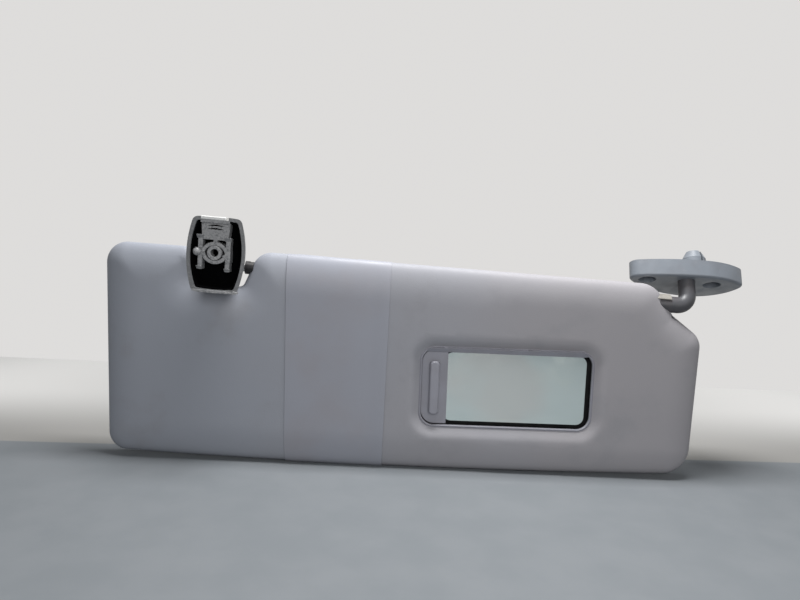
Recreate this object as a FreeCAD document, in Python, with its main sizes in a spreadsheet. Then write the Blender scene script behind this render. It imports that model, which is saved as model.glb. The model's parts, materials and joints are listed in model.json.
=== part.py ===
# Car sun visor: a vinyl-covered board on a swivel arm, with its base plate, its counter-clip
# on a rod in a notch of the top edge, a mirror behind a sliding cover, and a ticket band.
#
# Frame: the origin is on the base plate's mounting face, on the arm's swivel axis. +Z is up with
# the board hanging upright, +X runs along the fold axis to the pivot end, -Y faces the driver.
import FreeCAD, Part
import math
import os

import Sketcher
from FreeCAD import Placement, Rotation, Vector

doc = FreeCAD.newDocument("SunVisor")
sheet = doc.addObject("Spreadsheet::Sheet", "Sizes")

# Driving dimensions in millimetres and degrees. Board places are measured from the point where
# the fold axis meets the swivel axis, mirror places from the middle of the mirror window.
DIMENSIONS = [
    ("board_thickness", 20.0, "board, over the vinyl"),
    ("edge_round", 9.0, "round along the board's rim"),
    ("skin", 1.6, "vinyl cover"),
    ("top_rise", 16.0, "top edge above the fold axis, at the arm corner"),
    ("left_rise", 11.5, "top edge above the fold axis, at the left corner"),
    ("left_top", 443.2, "left edge from the swivel axis, at the top"),
    ("left_low", 434.8, "left edge from the swivel axis, at the lower corner"),
    ("left_drop", 150.3, "lower left corner below the fold axis"),
    ("right_low", 16.0, "lower right corner past the swivel axis"),
    ("right_drop", 130.0, "lower right corner below the fold axis"),
    ("low_bulge", 4.0, "sag of the lower edge between its corners"),
    ("right_top", 12.8, "right edge at the foot of the arm corner"),
    ("corner_drop", 21.0, "foot of the arm corner below the fold axis"),
    ("corner_reach", 42.0, "head of the arm corner from the swivel axis"),
    ("notch_right_top", 326.5, "right wall of the clip notch at the top edge"),
    ("notch_right_low", 338.0, "right wall of the clip notch at its floor"),
    ("notch_left_low", 374.0, "left wall of the clip notch at its floor"),
    ("notch_left_top", 376.0, "left wall of the clip notch at the top edge"),
    ("notch_floor", 15.0, "notch floor below the fold axis"),
    ("round_top_left", 15.0, "board corner"),
    ("round_low_left", 14.0, "board corner"),
    ("round_low_right", 18.0, "board corner"),
    ("round_arm_corner", 12.0, "both ends of the arm corner"),
    ("round_notch_right", 14.0, "notch, right top"),
    ("round_notch_left", 10.0, "notch, left top"),
    ("round_notch_floor", 5.0, "notch floor"),
    ("arm_lean", 25.0, "swivel axis leant back from the board"),
    ("arm_drop", 33.5, "fold axis below the mounting face, along the swivel axis"),
    ("rod_radius", 4.0, "pivot rod"),
    ("sleeve_radius", 6.2, "moulded sleeve round the pivot rod"),
    ("elbow_radius", 8.5, "bend of the pivot rod"),
    ("sleeve_reach", 36.0, "inner end of the sleeve from the swivel axis"),
    ("running_gap", 0.05, "radial clearance of a turning fit"),
    ("slide_gap", 0.3, "clearance between parts that pass each other"),
    ("plate_left", 46.5, "left tip of the base plate from the swivel axis"),
    ("plate_right", 44.5, "right tip of the base plate from the swivel axis"),
    ("plate_crest", 12.0, "widest place of the base plate, right of the swivel axis"),
    ("plate_near", 12.0, "reach of the base plate towards the driver"),
    ("plate_far", 33.0, "reach of the base plate towards the windscreen"),
    ("plate_depth", 13.5, "base plate with its lid"),
    ("plate_tip", 8.0, "round at each end of the base plate"),
    ("plate_wall", 2.5, "wall of the base plate"),
    ("lid", 2.0, "lid of the base plate"),
    ("screw_spacing", 50.0, "base plate screws"),
    ("screw_left", 4.0, "middle of the base plate screws, left of the swivel axis"),
    ("screw_back", 3.0, "base plate screws behind the swivel axis"),
    ("screw_radius", 2.6, "screw holes"),
    ("head_radius", 6.5, "recess for a screw head"),
    ("head_depth", 5.0, "recess for a screw head"),
    ("peg_radius", 8.8, "split peg at its foot"),
    ("peg_top_radius", 5.6, "split peg at its top"),
    ("peg_rise", 14.5, "split peg above the mounting face"),
    ("peg_taper", 6.0, "length of the split peg's taper"),
    ("peg_slot", 1.6, "slot of the split peg"),
    ("peg_right", 10.5, "split peg to the right of the swivel axis"),
    ("peg_back", 8.0, "split peg behind the swivel axis"),
    ("socket_wall", 3.0, "wall of the arm's socket"),
    ("washer", 1.2, "retaining washer"),
    ("spring_leaf", 0.6, "friction spring"),
    ("bush_length", 25.0, "pivot bush"),
    ("bush_half", 7.0, "pivot bush, half its section"),
    ("clamp_length", 22.0, "detent clamp"),
    ("clamp_room", 3.0, "detent clamp from the pivot bush"),
    ("end_room", 17.5, "end bush from the detent clamp"),
    ("stop_room", 1.5, "rod stop from the end bush"),
    ("clamp_wall", 1.2, "detent clamp"),
    ("end_bush_length", 11.0, "bush at the rod's inner end"),
    ("clip_rod_radius", 3.25, "rod of the counter-clip"),
    ("clip_rod_seat", 13.0, "length of the clip rod held in each wall of the notch"),
    ("clip_x", 352.2, "middle of the counter-clip from the swivel axis"),
    ("clip_width", 42.0, "counter-clip at its widest"),
    ("clip_top_width", 34.0, "counter-clip at its top"),
    ("clip_low_width", 32.5, "counter-clip at its foot"),
    ("clip_top", 36.0, "top of the counter-clip above the fold axis"),
    ("clip_foot", 17.3, "foot of the counter-clip below the fold axis"),
    ("clip_back", 17.5, "back wall of the counter-clip from the fold axis"),
    ("clip_depth", 12.5, "depth of the counter-clip's dish"),
    ("clip_wall", 2.4, "wall of the counter-clip's dish"),
    ("clip_draft", 2.5, "inset of the dish's back against its rim"),
    ("clip_corner", 4.5, "corner of the counter-clip"),
    ("clip_lining", 1.0, "lining of the counter-clip"),
    ("clip_spring_width", 16.0, "spring strip in the top of the counter-clip"),
    ("clip_spring_rise", 1.6, "spring strip in the top of the counter-clip"),
    ("claw_depth", 2.0, "claw behind the rim of the counter-clip"),
    ("claw_plate", 2.4, "thickness of the claw's arms"),
    ("claw_half", 11.2, "claw's legs from the middle of the counter-clip"),
    ("claw_leg", 3.4, "width of a claw leg"),
    ("claw_head", 21.5, "head of the claw's legs above the fold axis"),
    ("claw_foot", 1.5, "foot of the claw's legs below the fold axis"),
    ("claw_barb", 2.6, "barb on a claw leg"),
    ("tongue_half", 8.8, "claw's tongue, half its width"),
    ("tongue_low", 17.5, "foot of the claw's tongue above the fold axis"),
    ("ring_rise", 10.8, "ring of the claw above the fold axis"),
    ("ring_radius", 5.7, "ring of the claw"),
    ("ring_hole", 2.8, "screw hole in the claw's ring"),
    ("hook_width", 24.0, "hook of the counter-clip"),
    ("hook_wall", 3.0, "wall of the hook"),
    ("hook_mouth", 5.4, "mouth of the hook"),
    ("mirror_x", 131.0, "middle of the mirror window from the swivel axis"),
    ("mirror_drop", 75.0, "middle of the mirror window below the fold axis"),
    ("mirror_turn", 3.0, "turn of the mirror window against the fold axis"),
    ("window_half_length", 65.0, "mirror window"),
    ("window_half_height", 29.0, "mirror window"),
    ("window_round", 10.0, "corner of the mirror window"),
    ("bezel", 6.5, "width of the mirror frame round its window"),
    ("bezel_depth", 5.5, "depth of the mirror frame"),
    ("cover_length", 136.0, "sliding cover"),
    ("cover_overlap", 2.5, "cover behind the frame, above and below"),
    ("cover_thickness", 2.4, "sliding cover"),
    ("cover_show", 19.5, "open cover shown in the window"),
    ("grip_width", 8.0, "grip bar on the cover"),
    ("grip_height", 40.0, "grip bar on the cover"),
    ("grip_rise", 2.8, "grip bar on the cover"),
    ("grip_inset", 6.0, "grip bar from the end of the cover"),
    ("glass_end", 7.0, "mirror glass short of the window's right side"),
    ("glass_edge", 3.0, "mirror glass short of the window, above and below"),
    ("glass_round", 6.0, "corner of the mirror glass"),
    ("glass", 2.0, "mirror glass"),
    ("foam", 0.8, "foam tape behind the glass"),
    ("foam_inset", 4.0, "foam tape short of the glass all round"),
    ("tray_wall", 1.2, "mirror tray"),
    ("band", 1.0, "ticket band"),
    ("band_gap", 0.3, "ticket band off the vinyl"),
    ("band_left_top", 306.0, "welded edge of the band, at the top"),
    ("band_left_low", 296.0, "welded edge of the band, at the foot"),
    ("band_right_top", 227.0, "free edge of the band, at the top"),
    ("band_right_low", 221.0, "free edge of the band, at the foot"),
]


class Size:
    """A number together with the spreadsheet expression that gives it."""

    def __init__(self, value, text):
        self.value = value
        self.text = text

    def __add__(self, other):
        other = size(other)
        return Size(self.value + other.value, f"({self.text} + {other.text})")

    def __sub__(self, other):
        other = size(other)
        return Size(self.value - other.value, f"({self.text} - {other.text})")

    def __mul__(self, other):
        other = size(other)
        return Size(self.value * other.value, f"({self.text} * {other.text})")

    def __truediv__(self, other):
        other = size(other)
        return Size(self.value / other.value, f"({self.text} / {other.text})")

    def __neg__(self):
        return Size(-self.value, f"(0 - {self.text})")

    def __radd__(self, other):
        return size(other) + self

    def __rsub__(self, other):
        return size(other) - self

    def __rmul__(self, other):
        return size(other) * self


def size(number):
    """A plain number as a Size."""
    return number if isinstance(number, Size) else Size(number, f"({number})")


class Dimensions:
    """The driving dimensions by name, each one a cell of the spreadsheet."""

    def __init__(self, rows):
        for row, (name, value, words) in enumerate(rows, start=1):
            sheet.set(f"A{row}", words)
            sheet.set(f"B{row}", str(value))
            sheet.setAlias(f"B{row}", name)
            setattr(self, name, Size(value, f"Sizes.{name}"))


dim = Dimensions(DIMENSIONS)
doc.recompute()


def bind(thing, name, value):
    thing.setExpression(name, size(value).text)


def shift(thing, x, y, z):
    """Places an object at x, y, z, bound to the sheet."""
    for axis, value in zip("xyz", (x, y, z)):
        bind(thing, f"Placement.Base.{axis}", value)


# Plain solids and booleans
TURNS = {
    "X": Rotation(Vector(0, 1, 0), 90),
    "Y": Rotation(Vector(1, 0, 0), -90),
    "Z": Rotation(),
}


def block(name, low, high):
    """A box from its low corner to its high corner."""
    solid = doc.addObject("Part::Box", name)
    for side, start, end in zip(("Length", "Width", "Height"), low, high):
        bind(solid, side, size(end) - start)
    shift(solid, *low)
    return solid


def cylinder(name, axis, start, radius, length):
    """A cylinder that runs from start along +axis."""
    solid = doc.addObject("Part::Cylinder", name)
    solid.Placement = Placement(Vector(), TURNS[axis])
    bind(solid, "Radius", radius)
    bind(solid, "Height", length)
    shift(solid, *start)
    return solid


def tube(name, axis, start, inner, outer, length):
    """A plain ring or bush."""
    wall = cylinder(name + "_wall", axis, start, outer, length)
    bore = cylinder(name + "_bore", axis, start, inner, length)
    return cut(name, wall, bore)


def fuse(name, *parts):
    solid = doc.addObject("Part::MultiFuse", name)
    solid.Shapes = list(parts)
    solid.Refine = True
    return solid


def cut(name, base, *tools):
    solid = doc.addObject("Part::Cut", name)
    solid.Base = base
    solid.Tool = tools[0] if len(tools) == 1 else fuse(name + "_tools", *tools)
    solid.Refine = True
    return solid


def common(name, first, second):
    solid = doc.addObject("Part::Common", name)
    solid.Base = first
    solid.Tool = second
    solid.Refine = True
    return solid


def soften(name, base, pick, kind="Part::Fillet"):
    """Rounds or chamfers the edges to which pick gives a radius."""
    doc.recompute()
    solid = doc.addObject(kind, name)
    solid.Base = base
    radii = [(index, pick(edge)) for index, edge in enumerate(base.Shape.Edges, start=1)]
    solid.Edges = [(index, radius, radius) for index, radius in radii if radius]
    doc.recompute()
    return solid


def upright(edge, axis="y"):
    """True if a straight edge runs along the given axis."""
    ends = [vertex.Point for vertex in edge.Vertexes]
    if len(ends) != 2 or not isinstance(edge.Curve, Part.Line):
        return False
    across = [abs(getattr(ends[1] - ends[0], other)) for other in "xyz" if other != axis]
    return max(across) < 1e-4


def flat_at(edge, axis, level):
    """True if the whole edge lies at one level of the given axis."""
    bounds = edge.BoundBox
    low = getattr(bounds, axis.upper() + "Min")
    high = getattr(bounds, axis.upper() + "Max")
    return abs(low - level) < 1e-3 and abs(high - level) < 1e-3


# Sketches
def outline(name, corners, lying=False):
    """A closed sketch, anticlockwise, in the XZ plane, or in the XY plane if lying.

    Each corner is (across, up, bulge), and bulge is how far the side after it bows outwards.
    """
    sketch = doc.addObject("Sketcher::SketchObject", name)
    if not lying:
        sketch.Placement = Placement(Vector(), Rotation(Vector(1, 0, 0), 90))
    count = len(corners)
    points = [Vector(size(across).value, size(up).value) for across, up, bulge in corners]
    for index, (across, up, bulge) in enumerate(corners):
        start = points[index]
        end = points[(index + 1) % count]
        if bulge is None:
            sketch.addGeometry(Part.LineSegment(start, end))
            continue
        outward = Vector(end.y - start.y, start.x - end.x).normalize()
        crown = (start + end) / 2 + outward * bulge.value
        sketch.addGeometry(Part.Arc(start, crown, end))
    for index in range(count):
        after = (index + 1) % count
        sketch.addConstraint(Sketcher.Constraint("Coincident", index, 2, after, 1))
    for index, (across, up, bulge) in enumerate(corners):
        for kind, value in (("DistanceX", size(across)), ("DistanceY", size(up))):
            if abs(value.value) < 1e-9:
                on_axis = "PointOnObject"
                other_axis = -2 if kind == "DistanceX" else -1
                sketch.addConstraint(Sketcher.Constraint(on_axis, index, 1, other_axis))
                continue
            rule = Sketcher.Constraint(kind, -1, 1, index, 1, value.value)
            bind(sketch, f"Constraints[{sketch.addConstraint(rule)}]", value)
        if bulge is None:
            continue
        after = corners[(index + 1) % count]
        bow = bow_radius(size(after[0]) - across, size(after[1]) - up, bulge)
        rule = Sketcher.Constraint("Radius", index, bow.value)
        bind(sketch, f"Constraints[{sketch.addConstraint(rule)}]", bow)
    return sketch


def bow_radius(across, up, bulge):
    """Radius of the arc over a chord, from the chord's two legs and its bulge."""
    square = across * across + up * up
    return (square / 4 + bulge * bulge) / (2 * bulge)


def sine(angle):
    return Size(math.sin(math.radians(angle.value)), f"sin({angle.text} * 1 deg)")


def root(square):
    return Size(math.sqrt(square.value), f"sqrt({square.text})")


def cosine(angle):
    return Size(math.cos(math.radians(angle.value)), f"cos({angle.text} * 1 deg)")


def extrude(name, sketch, direction, start, length):
    """Extrudes a sketch along a direction, from start to start + length."""
    solid = doc.addObject("Part::Extrusion", name)
    solid.Base = sketch
    solid.DirMode = "Custom"
    solid.Dir = direction
    bind(solid, "LengthFwd", size(start) + length)
    bind(solid, "LengthRev", -size(start))
    solid.Solid = True
    return solid


def rounded_slab(name, middle, half_length, half_height, radius, front, back):
    """A slab across Y with rounded corners, about (x, z) = middle."""
    x, z = middle
    low = (size(x) - half_length, front, size(z) - half_height)
    high = (size(x) + half_length, back, size(z) + half_height)
    slab = block(name + "_block", low, high)
    corner = size(radius).value
    return soften(name, slab, lambda edge: corner if upright(edge) else 0)


# Places of the three groups. The base and the arm lean back with the swivel axis. The board hangs
# on the fold axis, and the mirror's pieces turn with the mirror window.
BACK = dim.arm_drop * sine(dim.arm_lean)
DOWN = dim.arm_drop * cosine(dim.arm_lean)


def on_swivel(thing, label):
    thing.Label = label
    thing.Placement = Placement(Vector(), Rotation(Vector(1, 0, 0), -dim.arm_lean.value))
    bind(thing, "Placement.Rotation.Angle", -dim.arm_lean)
    thing.Placement.Rotation.Axis = Vector(1, 0, 0)
    return thing


def on_board(thing, label):
    thing.Label = label
    shift(thing, 0, -BACK, -DOWN)
    return thing


def turned_with_window(thing):
    """Turns a piece drawn about the window's middle, and puts it on the board."""
    thing.Placement = Placement(Vector(), Rotation(Vector(0, -1, 0), dim.mirror_turn.value))
    bind(thing, "Placement.Rotation.Angle", dim.mirror_turn)
    shift(thing, -dim.mirror_x, 0, -dim.mirror_drop)
    return thing


def on_mirror(thing, label):
    thing.Label = label
    turned_with_window(thing)
    shift(thing, -dim.mirror_x, -BACK, -dim.mirror_drop - DOWN)
    return thing


def rise_at(reach):
    """Height of the board's top edge at a reach from the swivel axis."""
    share = (dim.left_top - reach) / (dim.left_top - dim.corner_reach)
    return dim.left_rise + (dim.top_rise - dim.left_rise) * share


# Board forms. One outline gives the vinyl, the moulded core inside it and the band over it.
CORNERS = [
    (-dim.left_low, -dim.left_drop, dim.low_bulge),
    (dim.right_low, -dim.right_drop, None),
    (dim.right_top, -dim.corner_drop, None),
    (-dim.corner_reach, dim.top_rise, None),
    (-dim.notch_right_top, rise_at(dim.notch_right_top), None),
    (-dim.notch_right_low, -dim.notch_floor, None),
    (-dim.notch_left_low, -dim.notch_floor, None),
    (-dim.notch_left_top, rise_at(dim.notch_left_top), None),
    (-dim.left_top, dim.left_rise, None),
]
CORNER_ROUNDS = [
    dim.round_low_left,
    dim.round_low_right,
    dim.round_arm_corner,
    dim.round_arm_corner,
    dim.round_notch_right,
    dim.round_notch_floor,
    dim.round_notch_floor,
    dim.round_notch_left,
    dim.round_top_left,
]
NOTCH_FLOOR_CORNERS = (5, 6)
board_outline = outline("board_outline", CORNERS)


def board_form(name, inset):
    """The board's rounded form, inset from the face of the vinyl all round."""
    profile = board_outline
    if abs(inset.value) > 0:
        profile = doc.addObject("Part::Offset2D", name + "_outline")
        profile.Source = board_outline
        profile.Join = "Intersection"
        bind(profile, "Value", -inset)
    half = dim.board_thickness / 2 - inset
    slab = extrude(name + "_slab", profile, Vector(0, 1, 0), -half, 2 * half)

    def corner_radius(edge):
        if not upright(edge):
            return 0
        place = edge.Vertexes[0].Point
        distances = [
            math.hypot(place.x - across.value, place.z - up.value) for across, up, bulge in CORNERS
        ]
        nearest = distances.index(min(distances))
        inward = -1 if nearest in NOTCH_FLOOR_CORNERS else 1
        return CORNER_ROUNDS[nearest].value - inward * inset.value

    cornered = soften(name + "_cornered", slab, corner_radius)
    rim = dim.edge_round.value - inset.value

    def rim_radius(edge):
        on_face = flat_at(edge, "y", half.value) or flat_at(edge, "y", -half.value)
        return rim if on_face else 0

    return soften(name, cornered, rim_radius)


# Board, seen from its rod axis
bush_face = -dim.sleeve_reach - dim.slide_gap
bush_end = bush_face - dim.bush_length
clamp_start = bush_end - dim.clamp_room
clamp_end = clamp_start - dim.clamp_length
end_bush_start = clamp_end - dim.end_room
end_bush_end = end_bush_start - dim.end_bush_length
stop_start = end_bush_start + dim.stop_room
stop_end = stop_start + dim.washer
bore_radius = dim.rod_radius + dim.running_gap
half_thickness = dim.board_thickness / 2
cover_front = -half_thickness + dim.bezel_depth + dim.slide_gap
cover_back = cover_front + dim.cover_thickness
glass_front = cover_back + dim.slide_gap * 2
glass_back = glass_front + dim.glass
foam_back = glass_back + dim.foam
tray_back = foam_back + dim.tray_wall
cover_half_height = dim.window_half_height + dim.cover_overlap
cover_right = -dim.window_half_length + dim.cover_show
cover_left = cover_right - dim.cover_length
tray_half_length = dim.window_half_length + dim.cover_overlap
MIDDLE = (0, 0)


def mirror_seat():
    """Space in the board for the mirror frame, its tray and the sliding cover."""
    frame_space = rounded_slab(
        "frame_space",
        MIDDLE,
        dim.window_half_length + dim.bezel,
        dim.window_half_height + dim.bezel,
        dim.window_round + dim.bezel,
        -half_thickness - 2,
        -half_thickness + dim.bezel_depth,
    )
    tray_space = block(
        "tray_space",
        (-tray_half_length, -half_thickness + dim.bezel_depth, -cover_half_height - 1),
        (tray_half_length, tray_back, cover_half_height + 1),
    )
    cover_space = block(
        "cover_space",
        (
            cover_left - 1,
            -half_thickness + dim.bezel_depth,
            -cover_half_height - dim.slide_gap,
        ),
        (0, cover_back + dim.slide_gap, cover_half_height + dim.slide_gap),
    )
    seat = fuse("mirror_seat", frame_space, tray_space, cover_space)
    return turned_with_window(seat)


def pivot_seat():
    """Space in the board for the sleeve, the bushes, the rod and the detent clamp."""
    half = dim.bush_half
    sleeve_space = cylinder(
        "sleeve_space", "X", (bush_face, 0, 0), dim.sleeve_radius + dim.slide_gap, 60
    )
    rod_space = cylinder(
        "rod_space", "X", (end_bush_end, 0, 0), dim.rod_radius + 1, bush_face - end_bush_end
    )
    bush_space = block("bush_space", (bush_end, -half, -half), (bush_face, half, half))
    clamp_space = block(
        "clamp_space", (clamp_end - 1, -half - 1, -half - 9), (clamp_start + 1, half + 1, half)
    )
    end_space = block("end_space", (end_bush_end, -half, -half), (stop_end + 1, half, half))
    return fuse("pivot_seat", sleeve_space, rod_space, bush_space, clamp_space, end_space)


clip_rod_left = -dim.notch_left_top - dim.clip_rod_seat
clip_rod_right = -(dim.notch_right_top + dim.notch_right_low) / 2 + dim.clip_rod_seat


def clip_rod_bar(name, extra):
    """The straight bar across the notch, or the hole for it."""
    return cylinder(
        name,
        "X",
        (clip_rod_left, 0, 0),
        dim.clip_rod_radius + extra,
        clip_rod_right - clip_rod_left,
    )


outer_form = board_form("outer_form", size(0))
core_form = board_form("core_form", dim.skin)
seats = fuse("board_seats", mirror_seat(), pivot_seat(), clip_rod_bar("clip_rod_hole", size(0)))

skin_hole = clip_rod_bar("skin_hole", size(0.1))
vinyl_cover = on_board(cut("vinyl_cover", outer_form, core_form, seats, skin_hole), "vinyl_cover")

far = dim.left_top + 20
front_half = block("front_half", (-far, -half_thickness, -200), (60, 0, 60))
rear_half = block("rear_half", (-far, 0, -200), (60, half_thickness, 60))
front_core = cut("front_core", common("front_blank", core_form, front_half), seats)
rear_core = cut("rear_core", common("rear_blank", core_form, rear_half), seats)
on_board(front_core, "front_core")
on_board(rear_core, "rear_core")

# Ticket band, welded along its left edge and round the board's rim, open along its right edge
band_inner = board_form("band_inner", -dim.band_gap)
band_outer = board_form("band_outer", -dim.band_gap - dim.band)
band_strip = extrude(
    "band_strip",
    outline(
        "band_outline",
        [
            (-dim.band_left_low, -dim.left_drop - 20, None),
            (-dim.band_right_low, -dim.left_drop - 20, None),
            (-dim.band_right_top, dim.top_rise + 10, None),
            (-dim.band_left_top, dim.top_rise + 10, None),
        ],
    ),
    Vector(0, 1, 0),
    -half_thickness - 5,
    half_thickness + 5,
)
band_ring = cut("band_ring", band_outer, band_inner)
on_board(common("ticket_band", band_ring, band_strip), "ticket_band")


# Pivot pieces inside the board
def bush(name, start, length):
    """A square bush with a running bore for the pivot rod."""
    half = dim.bush_half
    body = block(name + "_body", (start, -half, -half), (start + length, half, half))
    bore = cylinder(name + "_bore", "X", (start, 0, 0), bore_radius, length)
    return on_board(cut(name, body, bore), name)


bush("pivot_bush", bush_end, dim.bush_length)
bush("end_bush", end_bush_end, dim.end_bush_length)

clamp_outer = bore_radius + dim.clamp_wall
clamp_foot = -dim.bush_half - 6
clamp_gap = size(1.6)
clamp_ring = cylinder("clamp_ring", "X", (clamp_end, 0, 0), clamp_outer, dim.clamp_length)
clamp_legs = block(
    "clamp_legs",
    (clamp_end, -clamp_gap / 2 - dim.clamp_wall, clamp_foot),
    (clamp_start, clamp_gap / 2 + dim.clamp_wall, 0),
)
clamp_bore = cylinder("clamp_bore", "X", (clamp_end, 0, 0), bore_radius, dim.clamp_length)
clamp_slot = block(
    "clamp_slot", (clamp_end, -clamp_gap / 2, clamp_foot), (clamp_start, clamp_gap / 2, 0)
)
clamp_blank = fuse("clamp_blank", clamp_ring, clamp_legs)
on_board(cut("detent_clamp", clamp_blank, clamp_bore, clamp_slot), "detent_clamp")

bracket_half = dim.bush_half + 1
leg_space = clamp_gap / 2 + dim.clamp_wall
bracket_base = block(
    "bracket_base",
    (clamp_end - 1, -bracket_half, -dim.bush_half - 9),
    (clamp_start + 1, bracket_half, -dim.bush_half + 1),
)
bracket_slot = block(
    "bracket_slot", (clamp_end - 1, -leg_space, clamp_foot), (clamp_start + 1, leg_space, 0)
)
bracket = cut("clamp_bracket", bracket_base, bracket_slot)
on_board(bracket, "clamp_bracket")

clip_rod_ends = (clip_rod_left.value, clip_rod_right.value)
clip_rod_blank = clip_rod_bar("clip_rod_blank", size(0))


def at_rod_end(edge):
    return 0.6 if any(flat_at(edge, "x", end) for end in clip_rod_ends) else 0


on_board(soften("clip_rod", clip_rod_blank, at_rod_end, "Part::Chamfer"), "clip_rod")
collar = size(3)
collar_radius = dim.clip_rod_radius + 1.7
collar_left = -dim.notch_left_low + 0.3
collar_right = -dim.notch_right_low + 1
for collar_name, collar_start in (("left_collar", collar_left), ("right_collar", collar_right)):
    ring = tube(
        collar_name, "X", (collar_start, 0, 0), dim.clip_rod_radius, collar_radius, collar
    )
    on_board(ring, collar_name)


# Counter-clip: a barrel-shaped dish, open to the driver's side, on a hook round the clip rod
clip_middle = -dim.clip_x
dish_back = -dim.clip_back
dish_front = dish_back - dim.clip_depth


def dish_outline(name, inset, depth):
    """The dish's outline at one depth, inset from its outside. The dish narrows to the back."""
    inset = inset + dim.clip_draft * (depth - dish_front) / dim.clip_depth
    top = dim.clip_top - inset
    foot = -dim.clip_foot + inset
    top_half = dim.clip_top_width / 2 - inset
    low_half = dim.clip_low_width / 2 - inset
    bow = dim.clip_width / 2 - (dim.clip_top_width + dim.clip_low_width) / 4
    sketch = outline(
        name,
        [
            (clip_middle - low_half, foot, size(0.8)),
            (clip_middle + low_half, foot, bow),
            (clip_middle + top_half, top, size(0.8)),
            (clip_middle - top_half, top, bow),
        ],
    )
    bind(sketch, "Placement.Base.y", depth)
    return sketch


def dish_form(name, inset, front, back):
    """The dish's form between two depths, inset from its outside."""
    blank = doc.addObject("Part::Loft", name + "_blank")
    blank.Sections = [
        dish_outline(name + "_front", inset, front),
        dish_outline(name + "_back", inset, back),
    ]
    blank.Solid = True
    blank.Ruled = True
    depth = back.value - front.value
    corner = dim.clip_corner.value - inset.value
    return soften(name, blank, lambda edge: corner if edge.BoundBox.YLength > depth / 2 else 0)


dish_block = dish_form("dish_block", size(0), dish_front, dish_back)
rounded_dish = soften(
    "rounded_dish",
    dish_block,
    lambda edge: dim.clip_draft.value if flat_at(edge, "y", dish_back.value) else 0,
)
liner_back = dish_back - dim.clip_wall
liner_floor = liner_back - dim.clip_lining
dish_hollow = dish_form("dish_hollow", dim.clip_wall, dish_front, liner_back)
hook_left = clip_middle - dim.hook_width / 2
hook_bore_radius = dim.clip_rod_radius + dim.running_gap
hook_radius = hook_bore_radius + dim.hook_wall
hook_barrel = cylinder("hook_barrel", "X", (hook_left, 0, 0), hook_radius, dim.hook_width)
hook_neck = block(
    "hook_neck",
    (hook_left, dish_back - dim.clip_wall / 2, -hook_radius),
    (hook_left + dim.hook_width, 0, hook_radius),
)
hook_bore = cylinder("hook_bore", "X", (hook_left, 0, 0), hook_bore_radius, dim.hook_width)
hook_mouth = block(
    "hook_mouth",
    (hook_left, 0, -dim.hook_mouth / 2),
    (hook_left + dim.hook_width, hook_radius + 1, dim.hook_mouth / 2),
)


def spring_strip(name):
    """The spring strip in the top wall of the dish, and the notch for it."""
    half = dim.clip_spring_width / 2
    return block(
        name,
        (clip_middle - half, dish_front, dim.clip_top - dim.clip_spring_rise),
        (clip_middle + half, dish_front + dim.clip_depth / 3, dim.clip_top + 1),
    )


housing_blank = fuse("housing_blank", rounded_dish, hook_barrel, hook_neck)
housing = cut(
    "clip_housing", housing_blank, dish_hollow, hook_bore, hook_mouth, spring_strip("strip_notch")
)
on_board(housing, "clip_housing")
strip = common("clip_spring", spring_strip("strip_blank"), dish_form(
    "strip_form", size(0), dish_front, dish_back
))
on_board(strip, "clip_spring")

liner_front = dish_front + dim.claw_depth / 2
liner_block = dish_form("liner_block", dim.clip_wall, liner_front, liner_back)
liner_hollow = dish_form(
    "liner_hollow", dim.clip_wall + dim.clip_lining, liner_front, liner_floor
)
on_board(cut("clip_liner", liner_block, liner_hollow), "clip_liner")


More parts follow.
